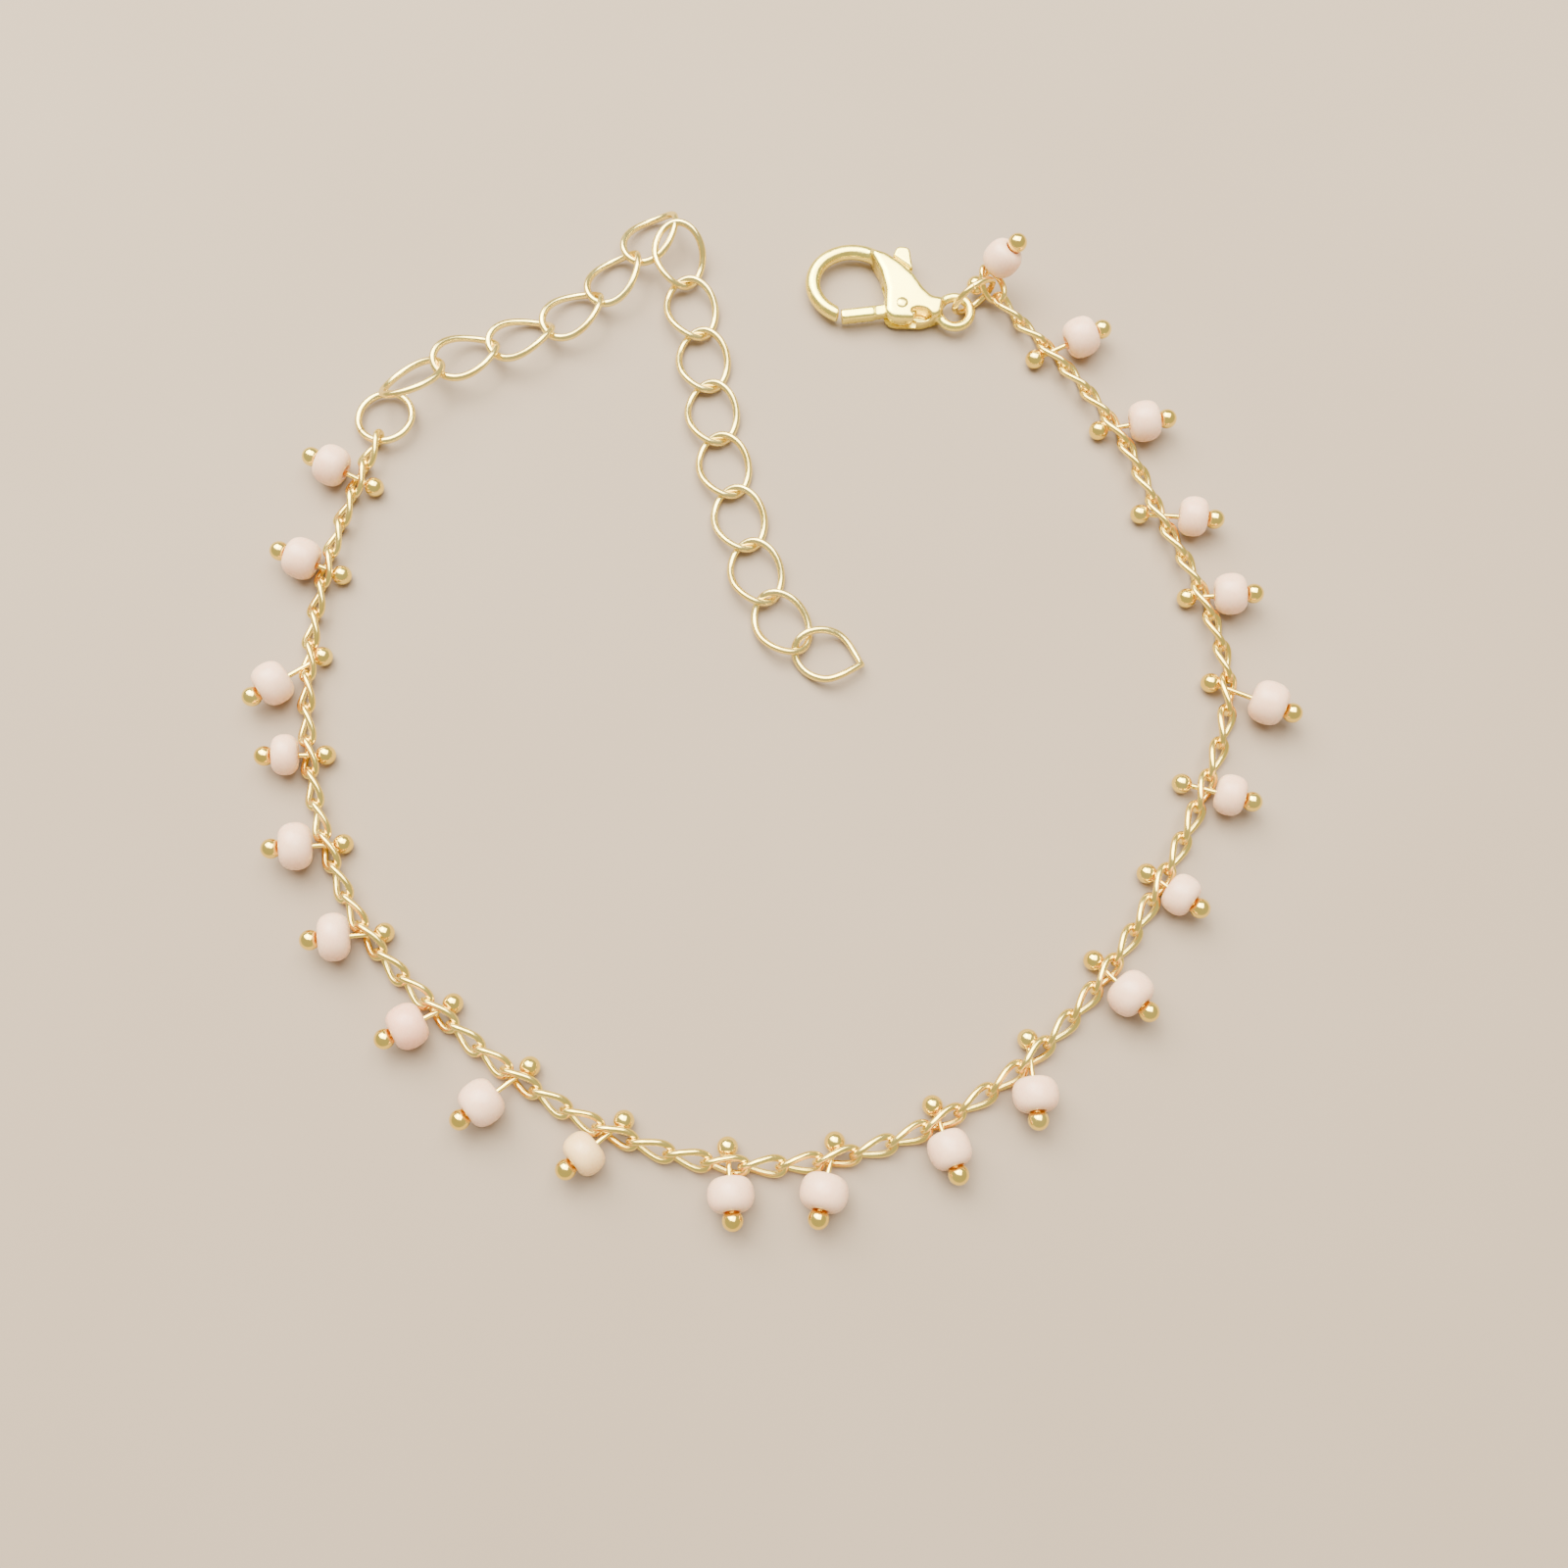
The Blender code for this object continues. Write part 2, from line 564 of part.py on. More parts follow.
joints = chain_joints()
curb_chain(joints)
for number, row in enumerate(drops, 1):
    link = 1 + LINKS_PER_DROP * (number - 1)
    drop(number, row, joints[link], joints[link + 1])
extender_chain()
jump_ring("extender_jump_ring", EXTENDER_RING_RADIUS, EXTENDER_RING_WIRE, EXTENDER_RING_PLACE,
          Matrix.Rotation(math.radians(EXTENDER_RING_TILT), 4, Vector(EXTENDER_RING_AXIS)), pale_gold)
jump_ring("clasp_jump_ring", CLASP_RING_RADIUS, CLASP_RING_WIRE, CLASP_RING_PLACE,
          Matrix.Rotation(math.radians(CLASP_RING_HEADING), 4, "Z")
          @ Matrix.Rotation(math.radians(90 + CLASP_RING_LEAN), 4, "X"), gold)
set_down_clasp()
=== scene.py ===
import json
import math

import bmesh
import bpy
from mathutils import Matrix, Vector
from mathutils.geometry import interpolate_bezier


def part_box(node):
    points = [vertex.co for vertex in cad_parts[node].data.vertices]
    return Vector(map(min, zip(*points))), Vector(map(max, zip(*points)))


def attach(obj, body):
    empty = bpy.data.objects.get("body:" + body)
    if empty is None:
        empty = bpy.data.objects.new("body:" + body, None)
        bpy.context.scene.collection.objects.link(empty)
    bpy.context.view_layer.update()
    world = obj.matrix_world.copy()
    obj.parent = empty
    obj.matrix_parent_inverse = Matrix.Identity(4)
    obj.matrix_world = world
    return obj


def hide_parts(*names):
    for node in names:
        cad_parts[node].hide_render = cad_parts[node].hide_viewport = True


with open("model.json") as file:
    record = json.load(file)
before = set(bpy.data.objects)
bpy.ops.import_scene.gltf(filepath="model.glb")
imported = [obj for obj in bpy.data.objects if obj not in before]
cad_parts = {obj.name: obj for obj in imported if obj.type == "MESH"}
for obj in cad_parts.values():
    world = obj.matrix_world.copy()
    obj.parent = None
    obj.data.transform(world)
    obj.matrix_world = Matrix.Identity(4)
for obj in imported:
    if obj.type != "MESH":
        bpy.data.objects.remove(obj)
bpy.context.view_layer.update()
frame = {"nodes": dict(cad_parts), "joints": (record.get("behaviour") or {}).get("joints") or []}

# Curb chain
# The real chain is drawn brass wire, wound into 65 small oval links that are closed round each
# other, twisted until the chain lies flat, and then plated with a thin layer of pale gold.
# Sizes and places are written in millimetres and angles in degrees. MM turns a size to metres.
MM = 0.001
CHAIN_WIRE = 0.45
CHAIN_HALF_WIDTH = 0.68
# A link that a pin goes through is squeezed a little narrower between the ball and the bead.
PINNED_HALF_WIDTH = 0.64
# A link's roll about its own length at its start and at its end, and how full its oval's ends are.
CHAIN_ROLLS = (97.0, 17.0)
CHAIN_BLUNT = 0.78
CHAIN_HEIGHT = 0.87
# The middles of the 22 links that carry a bead, every third link, from the left end to the right.
DROP_LINKS = (
    (-28.5, 14.7), (-30.3, 8.1), (-31.0, 1.5), (-30.5, -5.2), (-28.8, -11.5), (-25.7, -17.3),
    (-21.0, -22.0), (-15.7, -26.2), (-9.7, -29.5), (-2.8, -31.3), (4.1, -30.9), (10.7, -28.6),
    (16.6, -24.6), (21.3, -19.5), (25.1, -13.7), (28.3, -7.5), (30.4, -0.8), (29.2, 5.8),
    (26.5, 12.1), (23.9, 18.4), (19.8, 24.1), (15.4, 29.4),
)
LINKS_PER_DROP = 3
ROUTE_START, ROUTE_END = (-27.3, 17.9), (15.15, 30.4)
ROUTE_POINTS = 61
# The last link climbs over the ball of its own pin.
LAST_START_HEIGHT = 1.15
LAST_END = (14.95, 29.99, 2.09)
LAST_HALF_WIDTH = 0.72
LAST_ROLLS = (-29.0, 40.4)
LINK_STEPS, WIRE_STEPS = 48, 14
# Edges that turn by more than this stay crisp in the shading.
CRISP_FROM = 50.0
# The plating's tone drifts over about this length.
GOLD_DRIFT = 2.5


def linear(code):
    """An sRGB hex colour as the linear values that a shader socket takes."""
    parts = [int(code[place:place + 2], 16) / 255 for place in (1, 3, 5)]
    return [part / 12.92 if part <= 0.04045 else ((part + 0.055) / 1.055) ** 2.4 for part in parts] + [1.0]


def add_node(tree, kind, settings=None, links=None):
    """Adds a shader node, with its properties and sockets set, and its sockets linked to outputs."""
    node = tree.nodes.new(kind)
    for name, value in (settings or {}).items():
        if isinstance(name, int) or name in node.inputs:
            node.inputs[name].default_value = value
        else:
            setattr(node, name, value)
    for name, output in (links or {}).items():
        tree.links.new(output, node.inputs[name])
    return node


def add_ring(work, steps, radius, wire, opening=0.0):
    """Adds a flat ring of round wire about the origin and returns its vertices. An opening, in
    degrees and centred on +X, leaves two sawn ends."""
    before = set(work.verts)
    start = Matrix.Rotation(math.radians(opening / 2), 4, "Z") @ Matrix.Translation((radius * MM, 0, 0))
    circle = bmesh.ops.create_circle(work, cap_ends=opening > 0, radius=wire / 2 * MM, segments=WIRE_STEPS,
                                     matrix=start @ Matrix.Rotation(math.pi / 2, 4, "X"))["verts"]
    edges = list(dict.fromkeys(edge for vertex in circle for edge in vertex.link_edges))
    spun = bmesh.ops.spin(work, geom=circle + edges, axis=(0, 0, 1), cent=(0, 0, 0), steps=steps,
                          angle=math.radians(360 - opening), use_merge=opening == 0)
    if opening:
        rim = [item for item in spun["geom_last"] if isinstance(item, bmesh.types.BMEdge)]
        bmesh.ops.contextual_create(work, geom=rim)
    return [vertex for vertex in work.verts if vertex not in before]


def add_link(work, start, end, wire, half_width, rolls, blunt=1.0, point=None):
    """Adds a link that holds its neighbours at start and end: a ring made oval, then twisted. The
    smaller blunt is, the fuller are the oval's ends. Point, if given, draws the far end out to a tip:
    the smaller, the straighter are its sides."""
    along = (end - start).normalized()
    side = Vector((0, 0, 1)).cross(along).normalized()
    up = along.cross(side)
    half_length = ((end - start).length + wire) / 2
    for vertex in add_ring(work, LINK_STEPS, half_width, wire):
        x, y, z = vertex.co / MM
        angle = math.atan2(y, x)
        reach = math.copysign(abs(math.cos(angle)) ** blunt, x)
        if point and x > 0:
            reach = (1 - abs(angle) / (math.pi / 2)) ** point
        forward = half_length * reach + (math.hypot(x, y) - half_width) * math.cos(angle)
        turn = math.radians(rolls[0] + (rolls[1] - rolls[0]) * (1 + forward / half_length) / 2)
        vertex.co = ((start + end) / 2 + forward * along
                     + (y * math.cos(turn) - z * math.sin(turn)) * side
                     + (y * math.sin(turn) + z * math.cos(turn)) * up) * MM


def add_piece(name, work, material, body, node):
    """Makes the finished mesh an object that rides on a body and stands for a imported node."""
    bmesh.ops.recalc_face_normals(work, faces=work.faces)
    mesh = bpy.data.meshes.new(name)
    work.to_mesh(mesh)
    work.free()
    mesh.shade_smooth()
    mesh.set_sharp_from_angle(angle=math.radians(CRISP_FROM))
    mesh.materials.append(material)
    piece = bpy.data.objects.new(name, mesh)
    bpy.context.scene.collection.objects.link(piece)
    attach(piece, body)
    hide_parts(node)
    return piece


def gold_plating(name, gold, deep_gold, roughness, mark_size):
    """Gold electroplated on brass. The thin layer drifts a little in tone from place to place, and
    the tumbling that polishes such small parts leaves faint dull marks."""
    material = bpy.data.materials.new(name)
    material.use_nodes = True
    tree = material.node_tree
    shader = tree.nodes["Principled BSDF"]
    shader.inputs["Metallic"].default_value = 1.0
    place = add_node(tree, "ShaderNodeTexCoord").outputs["Object"]
    drift = add_node(tree, "ShaderNodeTexNoise", {"Scale": 1 / (GOLD_DRIFT * MM), "Detail": 2.0},
                     {"Vector": place})
    tone = add_node(tree, "ShaderNodeMapRange", {"From Min": 0.35, "From Max": 0.7},
                    {"Value": drift.outputs["Fac"]})
    colour = add_node(tree, "ShaderNodeMix", {"data_type": "RGBA", 6: linear(gold), 7: linear(deep_gold)},
                      {0: tone.outputs["Result"]})
    marks = add_node(tree, "ShaderNodeTexNoise",
                     {"Scale": 1 / (mark_size * MM), "Detail": 3.0, "Roughness": 0.6}, {"Vector": place})
    dull = add_node(tree, "ShaderNodeMapRange",
                    {"From Min": 0.35, "From Max": 0.75,
                     "To Min": roughness * 0.8, "To Max": roughness * 1.6},
                    {"Value": marks.outputs["Fac"]})
    relief = add_node(tree, "ShaderNodeBump", {"Strength": 0.25, "Distance": 0.004 * MM},
                      {"Height": marks.outputs["Fac"]})
    tree.links.new(colour.outputs[2], shader.inputs["Base Color"])
    tree.links.new(dull.outputs["Result"], shader.inputs["Roughness"])
    tree.links.new(relief.outputs["Normal"], shader.inputs["Normal"])
    return material


def way_at(route, index):
    """The direction of the smooth route at one of its points."""
    ways = [(there - here).normalized() for here, there in zip(route, route[1:])]
    return (ways[max(index - 1, 0)] + ways[min(index, len(ways) - 1)]).normalized()


def stretch(route, index, steps):
    """Divides the smooth route, from one of its points to the next, into equal steps."""
    start, end = route[index], route[index + 1]
    handle = (end - start).length / 3
    fine = interpolate_bezier(start, start + handle * way_at(route, index),
                              end - handle * way_at(route, index + 1), end, ROUTE_POINTS)
    run = [0.0]
    for here, there in zip(fine, fine[1:]):
        run.append(run[-1] + (there - here).length)
    places = [start]
    for step in range(1, steps):
        wanted = run[-1] * step / steps
        after = next(k for k, length in enumerate(run) if length > wanted)
        share = (wanted - run[after - 1]) / (run[after] - run[after - 1])
        places.append(fine[after - 1].lerp(fine[after], share))
    return places


route = [Vector((x, y, CHAIN_HEIGHT)) for x, y in (ROUTE_START, *DROP_LINKS, ROUTE_END)]
# Half a link is one step. The first bead's link is the second of the chain, so its middle is three
# steps on. The last bead's link ends the chain, one step after its middle.
half_links = [3] + [2 * LINKS_PER_DROP] * (len(DROP_LINKS) - 1) + [1]
halves = [place for index, count in enumerate(half_links) for place in stretch(route, index, count)]
joints = (halves + [route[-1]])[0::2]
joints[-2].z = LAST_START_HEIGHT
joints[-1] = Vector(LAST_END)

chain_gold = gold_plating("gold_plated_drawn_wire", "#FFE67C", "#FCDB68", 0.17, 0.12)
work = bmesh.new()
for index, (start, end) in enumerate(zip(joints[:-2], joints[1:-1])):
    half_width = PINNED_HALF_WIDTH if index % LINKS_PER_DROP == 1 else CHAIN_HALF_WIDTH
    add_link(work, start, end, CHAIN_WIRE, half_width, CHAIN_ROLLS, CHAIN_BLUNT)
add_link(work, joints[-2], joints[-1], CHAIN_WIRE, LAST_HALF_WIDTH, LAST_ROLLS)
chain = add_piece("chain_links", work, chain_gold, "bracelet", "curb_chain")


# Ball pins
# Each bead hangs on a short brass wire whose two ends were melted into balls and plated after.
# One ball sits inside the chain and one outside the bead, polished like small mirrors.
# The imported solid's ball has flat sides, so its corners stand a little outside the round ball.
BALL_RADIUS, ROUND_BALL_RADIUS = 0.68, 0.66
PIN_WIRE = 0.34
BALL_STEPS, PIN_TURNS = 20, 40
# Points closer than this become one, which closes the poles.
MERGE_WITHIN = 0.0005


def pin_ends(number):
    """The middles of a pin's inner and outer ball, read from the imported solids: the poles are the
    two points that are furthest apart, and the inner one is further from the bead."""
    points = [vertex.co.copy() for vertex in frame["nodes"][f"ball_pin_{number:02d}"].data.vertices]
    first = max(points, key=lambda point: (point - points[0]).length)
    second = max(points, key=lambda point: (point - first).length)
    low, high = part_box(f"glass_bead_{number:02d}")
    bead = (Vector(low) + Vector(high)) / 2
    inner, outer = sorted((first, second), key=lambda pole: -(pole - bead).length)
    step = (outer - inner).normalized() * BALL_RADIUS * MM
    return inner + step, outer - step


def facing(place, way):
    """The attitude of a piece whose origin is at a place and whose Z runs along a way."""
    return Matrix.Translation(place) @ way.to_track_quat("Z", "Y").to_matrix().to_4x4()


def turned(outline, turns, attitude):
    """A turned piece: its outline of (radius, height) points spun round the attitude's Z."""
    work = bmesh.new()
    points = [work.verts.new((radius * MM, 0, height * MM)) for radius, height in outline]
    edges = [work.edges.new(pair) for pair in zip(points, points[1:])]
    bmesh.ops.spin(work, geom=points + edges, axis=(0, 0, 1), cent=(0, 0, 0), angle=2 * math.pi,
                   steps=turns, use_merge=True)
    bmesh.ops.remove_doubles(work, verts=work.verts, dist=MERGE_WITHIN * MM)
    work.transform(attitude)
    return work


pin_gold = gold_plating("gold_plated_melted_balls", "#FFE578", "#FCDA64", 0.13, 0.3)
for number in range(1, len(DROP_LINKS) + 1):
    inner, outer = pin_ends(number)
    span = (outer - inner).length / MM
    neck = math.asin(PIN_WIRE / 2 / ROUND_BALL_RADIUS)
    turns = [neck + (math.pi - neck) * step / BALL_STEPS for step in range(BALL_STEPS + 1)]
    near = [(ROUND_BALL_RADIUS * math.sin(turn), ROUND_BALL_RADIUS * math.cos(turn))
            for turn in reversed(turns)]
    outline = near + [(radius, span - height) for radius, height in reversed(near)]
    work = turned(outline, PIN_TURNS, facing(inner, outer - inner))
    pin = add_piece(f"drop_pin_{number:02d}", work, pin_gold, "bracelet", f"ball_pin_{number:02d}")


# Glass beads
# Seed beads of opaque glass, drawn as a tube, cut, and tumbled in heat until their edges melt
# round. Most are a milky pink, one is cream and one is peach, and no two are quite alike.
BEAD_BORE = 1.0
BEAD_RIM = 0.04
# The outside is an oval. These powers of its sine and cosine make its side and its ends squarish.
BEAD_SIDE_POWER, BEAD_END_POWER = 0.84, 0.9
# The bore's wall ends this share of the bead's length from its middle, where the ends dip in.
BORE_SHARE = 0.36
BEAD_ARC, BEAD_TURNS = 22, 56
CLOUD_SIZE, DIMPLE_SPACING = 1.6, 0.25
# For the two beads of another colour, by number: material, colour, cloud colour and slot.
BEAD_COLOURS = {7: ("peach_glass", "#F9C3A0", "#F0A883", "peach_opaque_glass"),
                9: ("cream_glass", "#FCD394", "#F2BE78", "cream_opaque_glass")}
PINK = ("milky_pink_glass", "#FDD1AD", "#F5BC92", "pink_opaque_glass")


def opaque_glass(name, body, cloud):
    """Opaque glass, fire polished: milky all through, faintly cloudy, with a soft wet gloss."""
    material = bpy.data.materials.new(name)
    material.use_nodes = True
    tree = material.node_tree
    shader = tree.nodes["Principled BSDF"]
    shader.inputs["IOR"].default_value = 1.5
    shader.inputs["Subsurface Weight"].default_value = 0.35
    shader.inputs["Subsurface Radius"].default_value = (1.0, 0.6, 0.45)
    shader.inputs["Subsurface Scale"].default_value = 0.6 * MM
    place = add_node(tree, "ShaderNodeTexCoord").outputs["Object"]
    clouds = add_node(tree, "ShaderNodeTexNoise",
                      {"Scale": 1 / (CLOUD_SIZE * MM), "Detail": 3.0, "Roughness": 0.55}, {"Vector": place})
    amount = add_node(tree, "ShaderNodeMapRange", {"From Min": 0.35, "From Max": 0.8, "To Max": 0.55},
                      {"Value": clouds.outputs["Fac"]})
    colour = add_node(tree, "ShaderNodeMix", {"data_type": "RGBA", 6: linear(body), 7: linear(cloud)},
                      {0: amount.outputs["Result"]})
    # The melted skin keeps shallow dimples, which break up its highlights.
    dimples = add_node(tree, "ShaderNodeTexNoise", {"Scale": 1 / (DIMPLE_SPACING * MM), "Detail": 2.0},
                       {"Vector": place})
    gloss = add_node(tree, "ShaderNodeMapRange",
                     {"From Min": 0.3, "From Max": 0.7, "To Min": 0.22, "To Max": 0.34},
                     {"Value": dimples.outputs["Fac"]})
    relief = add_node(tree, "ShaderNodeBump", {"Strength": 0.3, "Distance": 0.01 * MM},
                      {"Height": dimples.outputs["Fac"]})
    tree.links.new(colour.outputs[2], shader.inputs["Base Color"])
    tree.links.new(gloss.outputs["Result"], shader.inputs["Roughness"])
    tree.links.new(relief.outputs["Normal"], shader.inputs["Normal"])
    return material


def bead_shape(number, inner, outer):
    """A bead's middle, length and width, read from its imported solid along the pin's direction."""
    way = (outer - inner).normalized()
    points = [vertex.co for vertex in frame["nodes"][f"glass_bead_{number:02d}"].data.vertices]
    middle = sum(points, Vector()) / len(points)
    heights = [(point - middle).dot(way) for point in points]
    shift = (max(heights) + min(heights)) / 2
    middle = middle + shift * way
    width = 2 * max(((point - middle) - (point - middle).dot(way) * way).length for point in points)
    return middle, (max(heights) - min(heights)) / MM, width / MM


glasses = {}
for number in range(1, len(DROP_LINKS) + 1):
    inner, outer = pin_ends(number)
    name, body_colour, cloud_colour, slot = BEAD_COLOURS.get(number, PINK)
    if name not in glasses:
        glasses[name] = opaque_glass(name, body_colour, cloud_colour)
    middle, length, width = bead_shape(number, inner, outer)
    bore, rim = BEAD_BORE / 2, BEAD_BORE / 2 + BEAD_RIM
    outline = [(bore, -BORE_SHARE * length), (bore, BORE_SHARE * length)]
    for step in range(BEAD_ARC + 1):
        angle = math.pi * step / BEAD_ARC
        swell = math.sin(angle) ** BEAD_SIDE_POWER
        reach = math.copysign(abs(math.cos(angle)) ** BEAD_END_POWER, math.cos(angle))
        outline.append((rim + (width / 2 - rim) * swell, length / 2 * reach))
    work = turned(outline + outline[:1], BEAD_TURNS, facing(middle, outer - inner))
    bead = add_piece(f"drop_bead_{number:02d}", work, glasses[name], "bracelet", f"glass_bead_{number:02d}")


# Jump rings
# Rings of plated brass wire, sawn from a coil and pinched shut to a hair's gap. The larger joins
# the extender to the chain, and the smaller joins the chain's last link to the clasp's eye.
RING_STEPS = 72
SEAM_OPENING = 2.2
LEFT_RING_RADIUS, LEFT_RING_WIRE, LEFT_RING_PLACE = 1.9, 0.5, (-27.0, 19.38, 0.73)
LEFT_RING_TILT, LEFT_RING_TILT_AXIS, LEFT_RING_SEAM = 7.2, (-0.79, -0.61, 0), 215.0
RIGHT_RING_RADIUS, RIGHT_RING_WIRE, RIGHT_RING_PLACE = 1.6, 0.45, (14.15, 28.16, 1.82)
RIGHT_RING_TURN, RIGHT_RING_TILT, RIGHT_RING_SEAM = 33.4, 92.2, 100.0


def turn_about(axis, angle):
    """A turn about an axis by an angle in degrees."""
    return Matrix.Rotation(math.radians(angle), 4, axis)


def add_jump_ring(name, radius, wire, place, attitude, seam, material, node):
    """A jump ring whose sawn seam is turned, in its own plane, to the given angle."""
    work = bmesh.new()
    add_ring(work, RING_STEPS, radius, wire, SEAM_OPENING)
    work.transform(Matrix.Translation(Vector(place) * MM) @ attitude @ turn_about("Z", seam))
    return add_piece(name, work, material, "bracelet", node)


pale_gold = gold_plating("pale_gold_plated_wire", "#FFEB90", "#FCE07C", 0.18, 0.2)
left_ring = add_jump_ring("left_ring", LEFT_RING_RADIUS, LEFT_RING_WIRE, LEFT_RING_PLACE,
                          turn_about(Vector(LEFT_RING_TILT_AXIS), LEFT_RING_TILT),
                          LEFT_RING_SEAM, pale_gold, "extender_jump_ring")
right_ring = add_jump_ring("right_ring", RIGHT_RING_RADIUS, RIGHT_RING_WIRE, RIGHT_RING_PLACE,
                           turn_about("Z", RIGHT_RING_TURN) @ turn_about("X", RIGHT_RING_TILT),
                           RIGHT_RING_SEAM, chain_gold, "clasp_jump_ring")


# Extender chain
# Fifteen large curb links of the same plated wire, one run from the ring to the fold and one from
# the fold to the free end, where the last link is drawn out to a point.
EXTENDER_WIRE = 0.5
EXTENDER_HALF_WIDTH = 1.7
EXTENDER_STEP = 4.1
EXTENDER_POINT = 0.94
# For each link: the way it lies, its roll at either end in degrees, and its far end's height.
RUN_COLUMNS = ("heading", "roll_start", "roll_end", "height")
OUTWARD_START = (-26.76, 20.64, 1.91)
OUTWARD_RUN = (
    (32.9, -43, -29, 1.75), (26, 12, -36, 1.2), (19, 4, -44, 1.2),
    (36, 8, -40, 1.2), (53, 2, -46, 1.25), (51, 4, -44, 1.2),
)
RETURN_START = (-7.0, 33.65, 1.92)
RETURN_RUN = (
    (-80, 14, -34, 0.85), (-75, 20, -28, 0.7), (-80, 24, -24, 0.64),
    (-81, 24, -24, 0.64), (-75, 24, -24, 0.64), (-74, 24, -24, 0.64),
    (-73, 24, -26, 0.71), (-56, 28, -24, 0.7), (-16, 24, -24, 0.64),
)
work = bmesh.new()
for start, run in ((OUTWARD_START, OUTWARD_RUN), (RETURN_START, RETURN_RUN)):
    joint = Vector(start)
    for row in run:
        link = dict(zip(RUN_COLUMNS, row))
        heading, climb = math.radians(link["heading"]), link["height"] - joint.z
        flat = math.sqrt(EXTENDER_STEP ** 2 - climb ** 2)
        end = joint + Vector((flat * math.cos(heading), flat * math.sin(heading), climb))
        add_link(work, joint, end, EXTENDER_WIRE, EXTENDER_HALF_WIDTH,
                 (link["roll_start"], link["roll_end"]),
                 point=EXTENDER_POINT if row is RETURN_RUN[-1] else None)
        joint = end
extender = add_piece("extender_links", work, pale_gold, "bracelet", "extender_chain")


# Clasp casting
# The lobster clasp's hook, body and eye are one brass casting, tumbled until its edges are round
# and plated. A slot through it takes the lever, and a rivet pressed across the slot holds it.
# The clasp is made in millimetres about its rivet, lying flat, and then set down in its place.
CLASP_THICKNESS = 1.9
CLASP_MIDDLE = CLASP_THICKNESS / 2
CLASP_TURN = -10.0
BODY_OUTLINE = (
    (-2.9, 4.05), (-2.7, 3.4), (-1.9, 2.3), (-1.35, 1.0), (-1.1, -0.9), (-0.5, -1.25), (1.6, -0.95),
    (2.9, -0.3), (2.9, 1.1), (2.0, 1.05), (1.3, 1.6), (0.5, 2.5), (-0.6, 3.3), (-1.7, 3.85),
)
# Rounding takes every edge of a plate that turns by more than SHARP_EDGE.
BODY_ROUNDING, ROUNDING_STEPS, SHARP_EDGE = 0.6, 4, 20.0
HOOK_CENTRE, HOOK_HALF_SIZE = (-3.6, 1.35), (2.95, 2.6)
HOOK_WIRE, HOOK_FROM, HOOK_TO, HOOK_STEPS = 1.08, 45.0, 257.0, 40
EYE_CENTRE, EYE_RADIUS, EYE_WIRE = (3.75, 0.45), 1.15, 0.7
SLOT_OUTLINE = (
    (-1.55, 6.0), (-1.4, 3.2), (-0.75, 1.7), (-2.6, 1.6), (-2.6, -3.0),
    (1.2, -3.0), (1.2, 0.6), (2.7, 3.2), (2.4, 6.0),
)
SLOT_THICKNESS = 0.82
# The dip in the neck, and the deeper hollow at its edge that shows as a dark oval.
NOTCH_OUTLINE = ((1.0, -1.6), (2.2, -1.6), (2.2, -0.35), (1.0, -0.35))
NOTCH_FLOOR = 1.25
HOLLOW_CENTRE, HOLLOW_HALF_SIZE, HOLLOW_FLOOR = (1.4, -0.42), (0.66, 0.34), 0.4
# The room that the gate swings in: its straight side, and the stretch of circle round the rivet.
GATE_ROOM_SIDE = ((-1.6, -1.5), (-1.6, 0.6))
GATE_REACH, GATE_GAP = 4.3, 0.12
SWEEP_FROM, SWEEP_TO, SWEEP_STEPS = 165.0, 215.0, 24
# A cut right through the clasp starts below it and ends above it.
BELOW, ABOVE = -1.0, 3.0
SMALL_ROUND_SIDES, ROUND_SIDES = 24, 36
RIVET_HEAD_RADIUS, RIVET_HEAD_HEIGHT, RIVET_HEAD_SUNK = 0.45, 0.2, 0.08
RIVET_SHANK_RADIUS, RIVET_FOOT, RIVET_NECK = 0.32, 0.3, 1.5
RIVET_TURNS, DOME_STEPS = 32, 9
# How fine the tumbled surface is made, and how often it is smoothed.
GRAIN = 0.08
CASTING_ROUNDS = 16
hinge = frame["joints"][0]
rivet = Vector(hinge["pos_m"])
clasp_place = (Matrix.Translation((rivet.x, rivet.y, 0)) @ turn_about("Z", CLASP_TURN)
               @ Matrix.Scale(MM, 4))


def arc(centre, radii, first, last, steps):
    """Points along an arc of a circle or an oval, in a plan."""
    angles = [math.radians(first + (last - first) * step / steps) for step in range(steps + 1)]
    return [(centre[0] + radii[0] * math.cos(angle), centre[1] + radii[1] * math.sin(angle))
            for angle in angles]


def oval(centre, radii, sides):
    """The plan of a whole circle or oval."""
    return arc(centre, radii, 0, 360 - 360 / sides, sides - 1)


def prism(outline, bottom, top):
    """A plate of the given plan between two heights."""
    work = bmesh.new()
    face = work.faces.new([work.verts.new((x, y, bottom)) for x, y in outline])
    raised = bmesh.ops.extrude_face_region(work, geom=[face])["geom"]
    bmesh.ops.translate(work, vec=(0, 0, top - bottom),
                        verts=[item for item in raised if isinstance(item, bmesh.types.BMVert)])
    bmesh.ops.recalc_face_normals(work, faces=work.faces)
    return work


def slab(outline, thickness):
    """A plate of the given plan, centred in the clasp's thickness."""
    return prism(outline, CLASP_MIDDLE - thickness / 2, CLASP_MIDDLE + thickness / 2)


def rounded(work, width):
    """Rounds every sharp edge of a plate."""
    sharp = [edge for edge in work.edges if edge.calc_face_angle(0) > math.radians(SHARP_EDGE)]
    bmesh.ops.bevel(work, geom=sharp, offset=width, offset_type="OFFSET", affect="EDGES",
                    segments=ROUNDING_STEPS, profile=0.5, material=-1, clamp_overlap=True)
    return work


